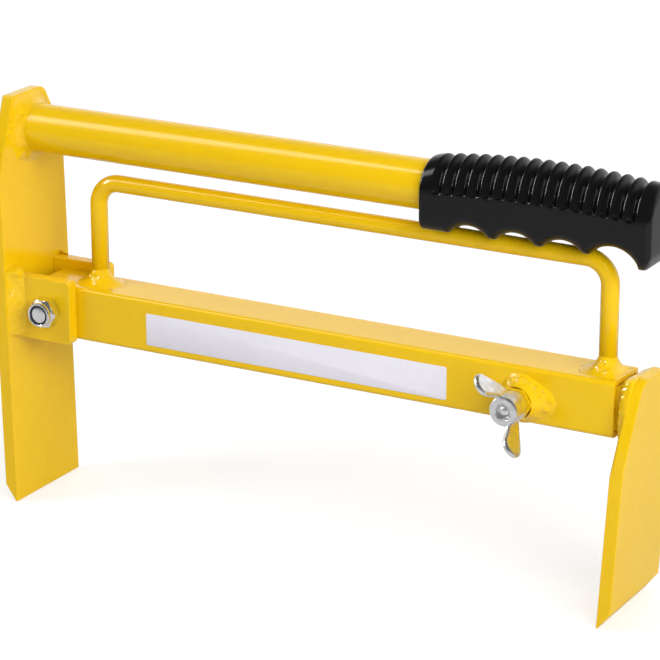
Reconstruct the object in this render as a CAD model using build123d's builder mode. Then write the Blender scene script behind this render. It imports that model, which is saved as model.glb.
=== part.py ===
"""Brick clamp: a lever jaw and a sliding jaw on a square tube, lifted by the lever's handle.

Millimetres. X runs along the beam towards the sliding jaw, Y to the back, Z up.
The origin is on the ground, midway between the two jaw tips, in the beam's middle plane.
"""

import os
from math import atan, cos, degrees, radians, sin, tan

from build123d import *

os.makedirs("parts", exist_ok=True)

# Stock sizes
tube_size = 25.0
tube_wall = 2.0
tube_corner = 2.0
bar_size = 20.0
bar_wall = 2.0
bar_corner = 1.5
rod_diameter = 8.0
handle_diameter = 22.2
handle_wall = 1.5
plate_width = 52.0
plate_thickness = 6.0
ear_thickness = 6.0

# Heights above the ground
beam_z = 93.5
pivot_z = beam_z + 1.5
lock_z = beam_z - 2.0
loop_z = beam_z + 61.3
handle_z = beam_z + 82.4

# Lengths along the beam, measured from the pivot axis
lever_face_back = 18.1
tube_back = 10.5
ear_reach = 12.0
loop_left = 17.1
loop_right = 271.9
lock_reach = 238.2
tube_reach = 280.5
jaw_face_reach = 286.7
bar_start = 30.0

# Jaw plates, cropped at the top corners, bevelled at the foot and toed in
lever_toe = 1.3
jaw_toe = 3.3
lever_top = 99.0
jaw_top = 15.0
crop_width = 13.5
crop_front = 36.0
crop_rear = 24.5
crop_radius = 3.0
jaw_crop_radius = 9.0
foot_bevel = 8.0
foot_land = 0.6

# Pivot
ear_height = 30.0
ear_gap = 0.5
ear_corner = 2.0
bolt_diameter = 8.0
bolt_length = 45.0
bolt_head_height = 5.3
bolt_clearance = 0.05
hex_across_flats = 13.0
nut_height = 8.0
nut_hex_height = 5.8
collar_diameter = 11.6
insert_diameter = 10.2
insert_height = 2.0

# Carrying loop and welds
loop_bend = 11.0
loop_weld_radius = 10.4
loop_weld_height = 9.0
loop_weld_waist = 6.2
loop_weld_waist_height = 3.8
handle_weld_leg = 5.0
ear_weld_leg = 6.0
ear_weld_face = 12.0
jaw_weld_leg = 4.0
weld_land = 0.6
weld_facets = 16

# Lock screw
lock_nut_height = 6.5
lock_weld_leg = 4.0
lock_hole_diameter = 9.0
stud_tip_gap = 0.3
stud_recess = 1.2
hub_gap = 1.5
hub_length = 10.6
hub_radius = 6.9
wing_span = 38.0
wing_rise = 20.3
wing_root_base = 1.8
wing_root_top = 7.2
wing_shoulder = 13.4
wing_shoulder_radius = 4.4
wing_tip_radius = 2.4
wing_tip_rise = 17.8
wing_thickness = 2.6
wing_angle = 123.0

# Grip: distances along it are from the pivot axis, and depths are below the handle's axis
grip_start = 188.5
grip_end = 294.6
grip_half_width = 14.2
grip_floor_gap = 0.3
grip_bottom_radius = 5.5
grip_edge = 1.2
grip_bore_clearance = 0.05
grip_end_wall = 3.5
grip_vent_diameter = 7.0
crown_end = 14.35
crown_mid = 18.2
crown_lean = 0.3
collar_drop = 0.5
rib_first = 197.1
rib_pitch = 5.91
rib_count = 15
rib_depth = 2.75
rib_side_depth = 2.0
rib_set_in = 0.25
crest_width = 3.3
parting_rise = 2.6
finger_first = 210.6
finger_pitch = 21.7
finger_count = 3
finger_radius = 12.2
finger_depth = 4.3
finger_flare = 5.5
flare_angles = (0, 70)
roller_margin = 0.05
last_finger = 276.5
last_finger_radius = 13.6
last_finger_depth = 4.8
flange_drop = 3.5
flange_radius = 6.0
facet_top = 11.0
facet_back = 3.0

# The frame's origin is midway between the two jaw tips
lever_tip = -lever_face_back + beam_z * tan(radians(lever_toe))
jaw_tip = jaw_face_reach - beam_z * tan(radians(jaw_toe))
pivot_x = -(lever_tip + jaw_tip) / 2
lock_x = pivot_x + lock_reach
tube_half = tube_size / 2
ear_inner = tube_half + ear_gap
ear_outer = ear_inner + ear_thickness

# Inner faces of the two jaws, each with its normal pointing out of the clamp and its Y axis up the plate
lever_face = Plane(
    origin=(pivot_x - lever_face_back, 0, beam_z),
    x_dir=(0, -1, 0),
    z_dir=(-cos(radians(lever_toe)), 0, -sin(radians(lever_toe))),
)
jaw_face = Plane(
    origin=(pivot_x + jaw_face_reach, 0, beam_z),
    x_dir=(0, 1, 0),
    z_dir=(cos(radians(jaw_toe)), 0, -sin(radians(jaw_toe))),
)


def across(x, z):
    """Plane square to the beam at x, with its Y axis up."""
    return Plane(origin=(x, 0, z), x_dir=(0, 1, 0), z_dir=(1, 0, 0))


def facing_front(x, y, z):
    """Plane whose normal points to the front, with its Y axis up."""
    return Plane(origin=(x, y, z), x_dir=(1, 0, 0), z_dir=(0, -1, 0))


def jaw_outline(top, toe, front, corner):
    """Outline of a jaw plate, with its front edge on the side of the sign given and round top corners."""
    foot = -beam_z / cos(radians(toe))
    half = plate_width / 2
    with BuildSketch() as outline:
        with BuildLine():
            Polyline(
                (-front * half, foot),
                (front * half, foot),
                (front * half, top - crop_front),
                (front * (half - crop_width), top),
                (-front * (half - crop_width), top),
                (-front * half, top - crop_rear),
                close=True,
            )
        make_face()
        fillet(outline.vertices().group_by(Axis.Y)[-1], radius=corner)
    return outline.sketch


# Beam: a square tube, drilled across for the pivot bolt and once in front for the lock screw
with BuildPart() as beam_tube:
    with BuildSketch(across(pivot_x - tube_back, beam_z)):
        RectangleRounded(tube_size, tube_size, tube_corner)
        Rectangle(tube_size - 2 * tube_wall, tube_size - 2 * tube_wall, mode=Mode.SUBTRACT)
    extrude(amount=tube_back + tube_reach)
    with BuildSketch(facing_front(pivot_x, tube_half, pivot_z)):
        Circle(bolt_diameter / 2 + bolt_clearance)
    extrude(amount=tube_size, mode=Mode.SUBTRACT)
    with BuildSketch(facing_front(lock_x, -tube_half + tube_wall, lock_z)):
        Circle(lock_hole_diameter / 2)
    extrude(amount=tube_wall, mode=Mode.SUBTRACT)
beam_tube.part.label = "beam_tube"
export_step(beam_tube.part, "parts/beam_tube.step")

# Carrying loop: one rod, bent twice, standing on the beam
with BuildPart() as carry_loop:
    with BuildLine(Plane.XZ) as loop_path:
        FilletPolyline(
            (pivot_x + loop_left, beam_z + tube_half),
            (pivot_x + loop_left, loop_z),
            (pivot_x + loop_right, loop_z),
            (pivot_x + loop_right, beam_z + tube_half),
            radius=loop_bend,
        )
    with BuildSketch(Plane.XY.offset(beam_z + tube_half)):
        with Locations((pivot_x + loop_left, 0)):
            Circle(rod_diameter / 2)
    sweep(path=loop_path.line)
carry_loop.part.label = "carry_loop"
export_step(carry_loop.part, "parts/carry_loop.step")

# Fillet welds round the loop's feet: a wide flare under a steep one, in flat facets
waist_z = beam_z + tube_half + loop_weld_waist_height
lower_slope = (loop_weld_radius - loop_weld_waist) / loop_weld_waist_height
upper_height = loop_weld_height - loop_weld_waist_height
upper_slope = (loop_weld_waist - rod_diameter / 2 - weld_land) / upper_height
with BuildPart() as foot_weld:
    with BuildSketch(Plane.XY.offset(beam_z + tube_half)):
        RegularPolygon(loop_weld_radius, weld_facets, major_radius=False)
    extrude(amount=loop_weld_waist_height, taper=degrees(atan(lower_slope)))
    with BuildSketch(Plane.XY.offset(waist_z)):
        RegularPolygon(loop_weld_waist, weld_facets, major_radius=False)
    extrude(amount=upper_height, taper=degrees(atan(upper_slope)))
    with BuildSketch(Plane.XY.offset(beam_z + tube_half)):
        Circle(rod_diameter / 2)
    extrude(amount=loop_weld_height, mode=Mode.SUBTRACT)

loop_weld_left = Pos(pivot_x + loop_left, 0, 0) * foot_weld.part
loop_weld_left.label = "loop_weld_left"
export_step(loop_weld_left, "parts/loop_weld_left.step")

loop_weld_right = Pos(pivot_x + loop_right, 0, 0) * foot_weld.part
loop_weld_right.label = "loop_weld_right"
export_step(loop_weld_right, "parts/loop_weld_right.step")

# Lock nut and the weld round its base
with BuildPart() as lock_nut:
    with BuildSketch(facing_front(lock_x, -tube_half, lock_z)):
        RegularPolygon(hex_across_flats / 2, 6, major_radius=False)
        Circle(bolt_diameter / 2 + bolt_clearance, mode=Mode.SUBTRACT)
    extrude(amount=lock_nut_height)
lock_nut.part.label = "lock_nut"
export_step(lock_nut.part, "parts/lock_nut.step")

with BuildPart() as lock_nut_weld:
    with BuildSketch(facing_front(lock_x, -tube_half, lock_z)):
        RegularPolygon(hex_across_flats / 2 + lock_weld_leg, 6, major_radius=False)
    extrude(amount=lock_weld_leg)
    chamfer(lock_nut_weld.edges().group_by(Axis.Y)[0], length=lock_weld_leg - weld_land)
    with BuildSketch(facing_front(lock_x, -tube_half, lock_z)):
        RegularPolygon(hex_across_flats / 2, 6, major_radius=False)
        with Locations((0, -tube_half)):
            Rectangle(3 * hex_across_flats, tube_half - tube_corner + lock_z - beam_z)
    extrude(amount=lock_nut_height, mode=Mode.SUBTRACT)
lock_nut_weld.part.label = "lock_nut_weld"
export_step(lock_nut_weld.part, "parts/lock_nut_weld.step")

# Lever plate
with BuildPart() as lever_plate:
    with BuildSketch(lever_face):
        add(jaw_outline(lever_top, lever_toe, front=1, corner=crop_radius))
    extrude(amount=plate_thickness)
    outer_face = lever_plate.faces().sort_by(SortBy.AREA)[-2:].sort_by(Axis.X)[0]
    foot_edge = outer_face.edges().sort_by(Axis.Z)[0]
    chamfer(foot_edge, length=foot_bevel, length2=plate_thickness - foot_land, reference=outer_face)
lever_plate.part.label = "lever_plate"
export_step(lever_plate.part, "parts/lever_plate.step")

# Handle tube, cut to the plate's slope
with BuildPart() as handle_tube:
    with BuildSketch(across(pivot_x + grip_end - grip_end_wall, handle_z)):
        Circle(handle_diameter / 2)
        Circle(handle_diameter / 2 - handle_wall, mode=Mode.SUBTRACT)
    extrude(amount=-(grip_end + 2 * lever_face_back))
    split(bisect_by=lever_face, keep=Keep.BOTTOM)
handle_tube.part.label = "handle_tube"
export_step(handle_tube.part, "parts/handle_tube.step")

# Weld round the tube in flat facets, cut to the plate's slope
with BuildPart() as handle_weld:
    face_x = pivot_x - lever_face_back - (handle_z - beam_z) * tan(radians(lever_toe))
    with BuildSketch(across(face_x - handle_weld_leg, handle_z)):
        RegularPolygon(handle_diameter / 2 + 2 * handle_weld_leg, weld_facets, major_radius=False)
    extrude(amount=2 * handle_weld_leg)
    chamfer(handle_weld.edges().group_by(Axis.X)[-1], length=2 * handle_weld_leg - weld_land)
    with BuildSketch(across(face_x - handle_weld_leg, handle_z)):
        Circle(handle_diameter / 2)
    extrude(amount=2 * handle_weld_leg, mode=Mode.SUBTRACT)
    split(bisect_by=lever_face, keep=Keep.BOTTOM)
handle_weld.part.label = "handle_weld"
export_step(handle_weld.part, "parts/handle_weld.step")


def ear_outline():
    """Lug outline in the XZ plane, with its plate end left long."""
    with BuildSketch() as outline:
        with BuildLine():
            Polyline(
                (pivot_x - 2 * lever_face_back, pivot_z - ear_height / 2),
                (pivot_x + ear_reach, pivot_z - ear_height / 2),
                (pivot_x + ear_reach, pivot_z + ear_height / 2),
                (pivot_x - 2 * lever_face_back, pivot_z + ear_height / 2),
                close=True,
            )
        make_face()
        fillet(outline.vertices().group_by(Axis.X)[-1], radius=ear_corner)
        with Locations((pivot_x, pivot_z)):
            Circle(bolt_diameter / 2 + bolt_clearance, mode=Mode.SUBTRACT)
    return outline.sketch


# Lugs on both sides of the beam, cut to the plate's slope
with BuildPart() as front_ear:
    with BuildSketch(Plane.XZ.offset(ear_inner)):
        add(ear_outline())
    extrude(amount=ear_thickness)
    split(bisect_by=lever_face, keep=Keep.BOTTOM)
front_ear.part.label = "front_ear"
export_step(front_ear.part, "parts/front_ear.step")

with BuildPart() as rear_ear:
    with BuildSketch(Plane.XZ.offset(-ear_outer)):
        add(ear_outline())
    extrude(amount=ear_thickness)
    split(bisect_by=lever_face, keep=Keep.BOTTOM)
rear_ear.part.label = "rear_ear"
export_step(rear_ear.part, "parts/rear_ear.step")


def ear_weld_section(side):
    """Section of the weld in the corner of lug and plate, on the side of the sign given."""
    corner_x = pivot_x - lever_face_back
    ear_y = side * ear_outer
    with BuildSketch() as section:
        with BuildLine():
            Polyline(
                (corner_x + ear_weld_leg, ear_y),
                (corner_x - ear_weld_leg, ear_y),
                (corner_x - ear_weld_leg, ear_y + side * ear_weld_leg),
                (corner_x, ear_y + side * ear_weld_leg),
            )
            RadiusArc(
                (corner_x, ear_y + side * ear_weld_leg),
                (corner_x + ear_weld_leg, ear_y),
                side * ear_weld_face,
            )
        make_face()
    return section.sketch


with BuildPart() as front_ear_weld:
    with BuildSketch(Plane.XY.offset(pivot_z - ear_height / 2)):
        add(ear_weld_section(-1))
    extrude(amount=ear_height)
    split(bisect_by=lever_face, keep=Keep.BOTTOM)
front_ear_weld.part.label = "front_ear_weld"
export_step(front_ear_weld.part, "parts/front_ear_weld.step")

with BuildPart() as rear_ear_weld:
    with BuildSketch(Plane.XY.offset(pivot_z - ear_height / 2)):
        add(ear_weld_section(1))
    extrude(amount=ear_height)
    split(bisect_by=lever_face, keep=Keep.BOTTOM)
rear_ear_weld.part.label = "rear_ear_weld"
export_step(rear_ear_weld.part, "parts/rear_ear_weld.step")

# Pivot bolt, with its head at the back
with BuildPart() as pivot_bolt:
    with BuildSketch(facing_front(pivot_x, ear_outer + bolt_head_height, pivot_z)):
        RegularPolygon(hex_across_flats / 2, 6, major_radius=False)
    extrude(amount=bolt_head_height)
    with BuildSketch(facing_front(pivot_x, ear_outer, pivot_z)):
        Circle(bolt_diameter / 2)
    extrude(amount=bolt_length)
pivot_bolt.part.label = "pivot_bolt"
export_step(pivot_bolt.part, "parts/pivot_bolt.step")

# Locking nut: a hexagon under a rolled collar that holds a nylon ring
insert_y = -ear_outer - nut_hex_height
with BuildPart() as pivot_nut:
    with BuildSketch(facing_front(pivot_x, -ear_outer, pivot_z)):
        RegularPolygon(hex_across_flats / 2, 6, major_radius=False)
    extrude(amount=nut_hex_height)
    with BuildSketch(facing_front(pivot_x, -ear_outer, pivot_z)):
        Circle(collar_diameter / 2)
    extrude(amount=nut_height)
    with BuildSketch(facing_front(pivot_x, insert_y, pivot_z)):
        Circle(insert_diameter / 2)
    extrude(amount=nut_height, mode=Mode.SUBTRACT)
    with BuildSketch(facing_front(pivot_x, -ear_outer, pivot_z)):
        Circle(bolt_diameter / 2 + bolt_clearance)
    extrude(amount=nut_height, mode=Mode.SUBTRACT)
pivot_nut.part.label = "pivot_nut"
export_step(pivot_nut.part, "parts/pivot_nut.step")

with BuildPart() as nut_insert:
    with BuildSketch(facing_front(pivot_x, insert_y, pivot_z)):
        Circle(insert_diameter / 2 - bolt_clearance)
        Circle(bolt_diameter / 2 + bolt_clearance, mode=Mode.SUBTRACT)
    extrude(amount=insert_height)
nut_insert.part.label = "nut_insert"
export_step(nut_insert.part, "parts/nut_insert.step")

# Slide: a square bar in the beam, with the second jaw welded to its end
with BuildPart() as slide_bar:
    with BuildSketch(across(pivot_x + bar_start, beam_z)):
        RectangleRounded(bar_size, bar_size, bar_corner)
        Rectangle(bar_size - 2 * bar_wall, bar_size - 2 * bar_wall, mode=Mode.SUBTRACT)
    extrude(amount=jaw_face_reach)
    split(bisect_by=jaw_face, keep=Keep.BOTTOM)
slide_bar.part.label = "slide_bar"
export_step(slide_bar.part, "parts/slide_bar.step")

with BuildPart() as slide_jaw:
    with BuildSketch(jaw_face):
        add(jaw_outline(jaw_top, jaw_toe, front=-1, corner=jaw_crop_radius))
    extrude(amount=plate_thickness)
    outer_face = slide_jaw.faces().sort_by(SortBy.AREA)[-2:].sort_by(Axis.X)[-1]
    foot_edge = outer_face.edges().sort_by(Axis.Z)[0]
    chamfer(foot_edge, length=foot_bevel, length2=plate_thickness - foot_land, reference=outer_face)
slide_jaw.part.label = "slide_jaw"
export_step(slide_jaw.part, "parts/slide_jaw.step")

with BuildPart() as jaw_weld:
    with BuildSketch(jaw_face):
        Rectangle(bar_size + 2 * jaw_weld_leg, bar_size + 2 * jaw_weld_leg)
    extrude(amount=-jaw_weld_leg)
    weld_front = jaw_weld.faces().sort_by(Axis.X)[0]
    chamfer(weld_front.edges(), length=jaw_weld_leg - weld_land)
    with BuildSketch(across(pivot_x + tube_reach, beam_z)):
        RectangleRounded(bar_size, bar_size, bar_corner)
    extrude(amount=4 * jaw_weld_leg, mode=Mode.SUBTRACT)
jaw_weld.part.label = "jaw_weld"
export_step(jaw_weld.part, "parts/jaw_weld.step")

# Lock screw: a threaded stud in a butterfly head
stud_tip_y = -bar_size / 2 - stud_tip_gap
hub_base_y = -tube_half - lock_nut_height - hub_gap
hub_nose_y = hub_base_y - hub_length
with BuildPart() as lock_stud:
    with BuildSketch(facing_front(lock_x, stud_tip_y, lock_z)):
        Circle(bolt_diameter / 2)
    extrude(amount=stud_tip_y - hub_nose_y - stud_recess)
lock_stud.part.label = "lock_stud"
export_step(lock_stud.part, "parts/lock_stud.step")

# Wings lie in the plane of the screw's axis and the direction they point in
wing_plane = Plane(
    origin=(lock_x, hub_base_y, lock_z),
    x_dir=(cos(radians(wing_angle)), 0, sin(radians(wing_angle))),
    z_dir=(sin(radians(wing_angle)), 0, -cos(radians(wing_angle))),
)
with BuildPart() as wing_head:
    with BuildSketch(facing_front(lock_x, hub_base_y, lock_z)):
        Circle(hub_radius)
    extrude(amount=hub_length)
    for side in (-1, 1):
        with BuildSketch(wing_plane):
            with Locations((side * hub_radius * 3 / 4, (wing_root_base + wing_root_top) / 2)):
                Rectangle(hub_radius / 2, wing_root_top - wing_root_base)
            with Locations((side * wing_shoulder, wing_rise - wing_shoulder_radius)):
                Circle(wing_shoulder_radius)
            with Locations((side * (wing_span / 2 - wing_tip_radius), wing_tip_rise)):
                Circle(wing_tip_radius)
            make_hull()
        extrude(amount=wing_thickness / 2, both=True)
    with BuildSketch(facing_front(lock_x, hub_base_y, lock_z)):
        Circle(bolt_diameter / 2 + bolt_clearance)
    extrude(amount=2 * wing_rise, mode=Mode.SUBTRACT)
wing_head.part.label = "wing_head"
export_step(wing_head.part, "parts/wing_head.step")

# Grip: an upper half with ribs under a crowned top, on a lower half with finger grooves
grip_length = grip_end - grip_start
grip_mid = (grip_start + grip_end) / 2
grip_bottom = loop_z + rod_diameter / 2 + grip_floor_gap
grip_depth = handle_z - grip_bottom
start_x = pivot_x + grip_start
end_x = pivot_x + grip_end


def foot_section(depth, radius):
    """Section of the lower half, with round bottom corners at a depth below the handle's axis."""
    with BuildSketch() as section:
        with Locations((0, (parting_rise - depth) / 2)):
            Rectangle(2 * grip_half_width, parting_rise + depth)
        fillet(section.vertices().group_by(Axis.Y)[0], radius=radius)
    return section.sketch


def grip_side():
    """Side view of the lower half, with the parting line's curve on top and a facet at the end."""
    low = grip_bottom - flange_drop
    with BuildSketch() as side:
        with BuildLine():
            Polyline(
                (start_x, handle_z),
                (start_x, low),
                (end_x - facet_back, low),
                (end_x, handle_z - facet_top),
                (end_x, handle_z),
            )
            ThreePointArc(
                (end_x, handle_z),
                (pivot_x + grip_mid, handle_z + parting_rise),
                (start_x, handle_z),
            )
        make_face()
    return side.sketch


def groove_roller(x, radius):
    """Half outline of the roller that leaves a finger groove at x, flared at both sides of the grip."""
    side = grip_half_width + roller_margin
    waist = side - finger_flare * sin(radians(flare_angles[-1]))
    flare = []
    for angle in flare_angles:
        widening = finger_flare * (1 - cos(radians(angle)))
        flare.append((x + radius + widening, waist + finger_flare * sin(radians(angle))))
    far_flare = [(reach, -out) for reach, out in reversed(flare)]
    with BuildSketch() as outline:
        with BuildLine():
            Polyline(*far_flare, *flare, (x, side), (x, -side), close=True)
        make_face()
    return outline.sketch


def crown_section(reach, drop, narrowing):
    """Half oval of the upper half at a distance from the pivot, with its top and its sides set in."""
    share = 2 * (reach - grip_mid) / grip_length
    height = crown_mid - (crown_mid - crown_end) * share**2 + crown_lean * share - drop
    half = grip_half_width - narrowing
    with BuildSketch() as section:
        with BuildLine():
            EllipticalCenterArc((0, 0), half, height, start_angle=0, arc_size=180)
            Line((-half, 0), (half, 0))
        make_face()
    return section.sketch


# Plain collars at both ends: the distances of their ovals and how far each is set in
valley_width = rib_pitch - crest_width
near_collar = [
    (grip_start, collar_drop + grip_edge, grip_edge),
    (grip_start + grip_edge, collar_drop, 0),
    (rib_first - valley_width / 2, collar_drop, 0),
]
far_collar = [
    (rib_first + rib_count * rib_pitch + valley_width / 2, collar_drop, 0),
    (grip_end - grip_edge, collar_drop, 0),
    (grip_end, collar_drop + grip_edge, grip_edge),
]

# Centres, radii and depths of the finger grooves
fingers = []
for finger in range(finger_count):
    fingers.append((finger_first + finger * finger_pitch, finger_radius, finger_depth))
fingers.append((last_finger, last_finger_radius, last_finger_depth))

with BuildPart() as handle_grip:
    # Lower half: a foot along the grip and a deeper flange at its end, cut to the side view
    with BuildSketch(across(start_x, handle_z)):
        add(foot_section(grip_depth, grip_bottom_radius))
    extrude(amount=last_finger - grip_start)
    with BuildSketch(across(pivot_x + last_finger, handle_z)):
        add(foot_section(grip_depth + flange_drop, flange_radius))
    extrude(amount=grip_end - last_finger)
    for end in (0, -1):
        end_face = handle_grip.faces().sort_by(Axis.X)[end]
        chamfer(end_face.edges().sort_by(Axis.Z)[:-1], length=grip_edge)
    with BuildSketch(Plane.XZ):
        add(grip_side())
    extrude(amount=crown_mid, both=True, mode=Mode.INTERSECT)
    for reach, radius, depth in fingers:
        roller_z = grip_bottom + depth - radius
        with BuildSketch(Plane.XY.offset(roller_z)):
            add(groove_roller(pivot_x + reach, radius))
        revolve(axis=Axis((pivot_x + reach, 0, roller_z), (0, 1, 0)), mode=Mode.SUBTRACT)
    # Upper half: a valley and a crest in turn, between the two collars
    for rib in range(rib_count + 1):
        valley = rib_first + rib * rib_pitch
        with BuildSketch(across(pivot_x + valley - valley_width / 2, handle_z)):
            add(crown_section(valley, rib_set_in + rib_depth, rib_set_in + rib_side_depth))
        extrude(amount=valley_width)
    for rib in range(rib_count):
        crest = rib_first + (rib + 0.5) * rib_pitch
        with BuildSketch(across(pivot_x + crest - crest_width / 2, handle_z)):
            add(crown_section(crest, rib_set_in, rib_set_in))
        extrude(amount=crest_width)
    for collar in (near_collar, far_collar):
        for reach, drop, narrowing in collar:
            with BuildSketch(across(pivot_x + reach, handle_z)):
                add(crown_section(reach, drop, narrowing))
        loft(ruled=True)
    # Bore for the tube, with an end wall and its vent
    with BuildSketch(across(start_x, handle_z)):
        Circle(handle_diameter / 2 + grip_bore_clearance)
    extrude(amount=grip_length - grip_end_wall, mode=Mode.SUBTRACT)
    with BuildSketch(across(end_x, handle_z)):
        Circle(grip_vent_diameter / 2)
    extrude(amount=-grip_length, mode=Mode.SUBTRACT)
handle_grip.part.label = "handle_grip"
export_step(handle_grip.part, "parts/handle_grip.step")
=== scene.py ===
# %% [markdown]
# # A brick clamp, finished over its CAD frame
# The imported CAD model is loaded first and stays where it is. Every piece made here is measured from it,
# and rides one of its bodies, so the clamp still opens, slides and turns.

# %% Load the frame
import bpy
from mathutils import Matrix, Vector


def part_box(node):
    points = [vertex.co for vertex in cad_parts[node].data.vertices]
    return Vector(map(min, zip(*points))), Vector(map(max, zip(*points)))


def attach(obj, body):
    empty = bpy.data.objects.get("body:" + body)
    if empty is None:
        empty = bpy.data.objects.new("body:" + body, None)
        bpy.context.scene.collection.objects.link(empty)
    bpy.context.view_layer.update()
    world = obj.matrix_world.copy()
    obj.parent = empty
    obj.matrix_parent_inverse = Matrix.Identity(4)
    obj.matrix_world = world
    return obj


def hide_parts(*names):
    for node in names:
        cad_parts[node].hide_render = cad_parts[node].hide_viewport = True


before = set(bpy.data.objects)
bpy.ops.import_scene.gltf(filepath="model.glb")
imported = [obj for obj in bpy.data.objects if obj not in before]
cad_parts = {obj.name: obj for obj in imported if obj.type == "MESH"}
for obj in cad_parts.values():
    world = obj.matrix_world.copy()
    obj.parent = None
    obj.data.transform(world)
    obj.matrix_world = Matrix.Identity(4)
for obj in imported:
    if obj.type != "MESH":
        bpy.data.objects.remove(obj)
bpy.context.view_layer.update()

# %% [markdown]
# ## Tools for making pieces
# Everything below is measured in metres. A piece is a mesh of rows of points: a weld, a thread and a
# moulded grip are all rows of the same length joined by four-sided faces. Bevelled curves could make the
# simpler ones, but rows give every point, so lumps, ribs and grooves go exactly where they belong.

# %% Units and imports
import math
from math import cos, radians, sin
import bmesh
import bpy
from mathutils import Matrix, Vector, noise
mm = 0.001
scene = bpy.context.scene
print("working in millimetres of", mm, "m")


# %% Rows of points to faces
def join_rows(rows, loop=False, ends=True):
    """Joins rows of equal length, each a ring, into faces. A loop joins the last row to the first.

    Without a loop, each end is closed with one face, unless ends is False.
    """
    width = len(rows[0])
    faces = []
    for i in range(len(rows) if loop else len(rows) - 1):
        ahead = (i + 1) % len(rows)
        for k in range(width):
            beside = (k + 1) % width
            faces.append((i * width + k, i * width + beside, ahead * width + beside, ahead * width + k))
    if ends and not loop:
        faces += [tuple(range(width))[::-1], tuple(range((len(rows) - 1) * width, len(rows) * width))]
    return [point for row in rows for point in row], faces


print("row tool ready")

# %% [markdown]
# Each piece needs a finish, the CAD body that it rides on, and the CAD nodes that it stands for, which are
# hidden. One helper does all three, so none is forgotten.


# %% Placing a piece
def settle(piece, body, finish, hides=()):
    """Gives a piece its finish and its body, and hides the CAD nodes it stands for."""
    piece.data.materials.clear()
    piece.data.materials.append(finish)
    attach(piece, body)
    for node in hides:
        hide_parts(node)
    print(piece.name, "-", len(piece.data.polygons), "faces on", body)
    return piece


def make_piece(name, points, faces, body, finish, hides=()):
    """Makes a smooth-shaded piece with its faces turned outward."""
    mesh = bpy.data.meshes.new(name)
    mesh.from_pydata([tuple(p) for p in points], [], faces)
    shape = bmesh.new()
    shape.from_mesh(mesh)
    bmesh.ops.recalc_face_normals(shape, faces=shape.faces)
    shape.to_mesh(mesh)
    shape.free()
    mesh.shade_smooth()
    piece = bpy.data.objects.new(name, mesh)
    scene.collection.objects.link(piece)
    return settle(piece, body, finish, hides)


print("placing tools ready")

# %% [markdown]
# ## Finishes
# The steel is powder coated a warm yellow, with the faint orange peel that powder leaves. The grip is
# moulded satin black, the bolt and nut are bright zinc, and the wing head is cast zinc with a duller,
# grainier skin. Effects that several finishes share are node groups, so each is tuned in one place.


# %% Node helpers
def set_inputs(node, values):
    """Sets a node's input sockets by name."""
    for socket, value in values.items():
        node.inputs[socket].default_value = value


def add_node(tree, kind, values=None, **settings):
    """Adds a node with its settings, and with values on its input sockets by name."""
    made = tree.nodes.new(kind)
    for key, value in settings.items():
        setattr(made, key, value)
    set_inputs(made, values or {})
    return made


def wire(tree, *links):
    """Links nodes. A link is a node and its output, then the node that it feeds and the input there."""
    for source, out, target, into in links:
        tree.links.new(source.outputs[out], target.inputs[into])


def new_finish(name):
    """Starts a material and returns it with its tree and its main shader."""
    finish = bpy.data.materials.new(name)
    finish.use_nodes = True
    tree = finish.node_tree
    return finish, tree, tree.nodes["Principled BSDF"]


def new_group(name, inputs, outputs):
    """Starts a node group with number sockets and returns its tree, its input node and its output node."""
    tree = bpy.data.node_groups.new(name, "ShaderNodeTree")
    for socket, value in inputs.items():
        made = tree.interface.new_socket(socket, in_out="INPUT", socket_type="NodeSocketFloat")
        made.default_value = value
    for socket in outputs:
        tree.interface.new_socket(socket, in_out="OUTPUT", socket_type="NodeSocketFloat")
    return tree, tree.nodes.new("NodeGroupInput"), tree.nodes.new("NodeGroupOutput")


def use_group(tree, group, values):
    """Places a group in a material and sets its inputs."""
    return add_node(tree, "ShaderNodeGroup", values, node_tree=group)


print("node helpers ready")

# %% [markdown]
# The grain is one band of noise used as a height: coarse and low it is orange peel, fine it is moulding
# texture. The handling mask is a slow cloud with a finer one over it, for where hands and dust have been.

# %% Surface grain
grain, grain_in, grain_out = new_group("surface grain", {"Scale": 500.0, "Detail": 2.0}, ["Height"])
place = add_node(grain, "ShaderNodeTexCoord")
cloud = add_node(grain, "ShaderNodeTexNoise", {"Roughness": 0.5})
wire(grain, (place, "Object", cloud, "Vector"), (grain_in, "Scale", cloud, "Scale"),
     (grain_in, "Detail", cloud, "Detail"), (cloud, "Fac", grain_out, "Height"))
print("group:", grain.name)

# %% Handling mask
handling, handling_in, handling_out = new_group("handling", {"Scale": 25.0, "Finer": 9.0}, ["Mask"])
place = add_node(handling, "ShaderNodeTexCoord")
slow = add_node(handling, "ShaderNodeTexNoise", {"Detail": 3.0})
fine = add_node(handling, "ShaderNodeTexNoise", {"Detail": 4.0})
faster = add_node(handling, "ShaderNodeMath", operation="MULTIPLY")
both = add_node(handling, "ShaderNodeMath", operation="MULTIPLY")
spread = add_node(handling, "ShaderNodeMapRange", {"From Min": 0.12, "From Max": 0.42})
wire(handling, (place, "Object", slow, "Vector"), (place, "Object", fine, "Vector"),
     (handling_in, "Scale", slow, "Scale"), (handling_in, "Scale", faster, 0), (handling_in, "Finer", faster, 1),
     (faster, 0, fine, "Scale"), (slow, "Fac", both, 0), (fine, "Fac", both, 1),
     (both, 0, spread, "Value"), (spread, "Result", handling_out, "Mask"))
print("group:", handling.name)

# %% [markdown]
# Every finish here is the same recipe with other values: two tones that the handling mask mixes, a roughness that
# it shifts a little, and the grain as a shallow relief. Paint over a weld is glossier and less even than on plate.

# %% A finish from its colours and surface
relief_depth = 0.1 * mm


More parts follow.
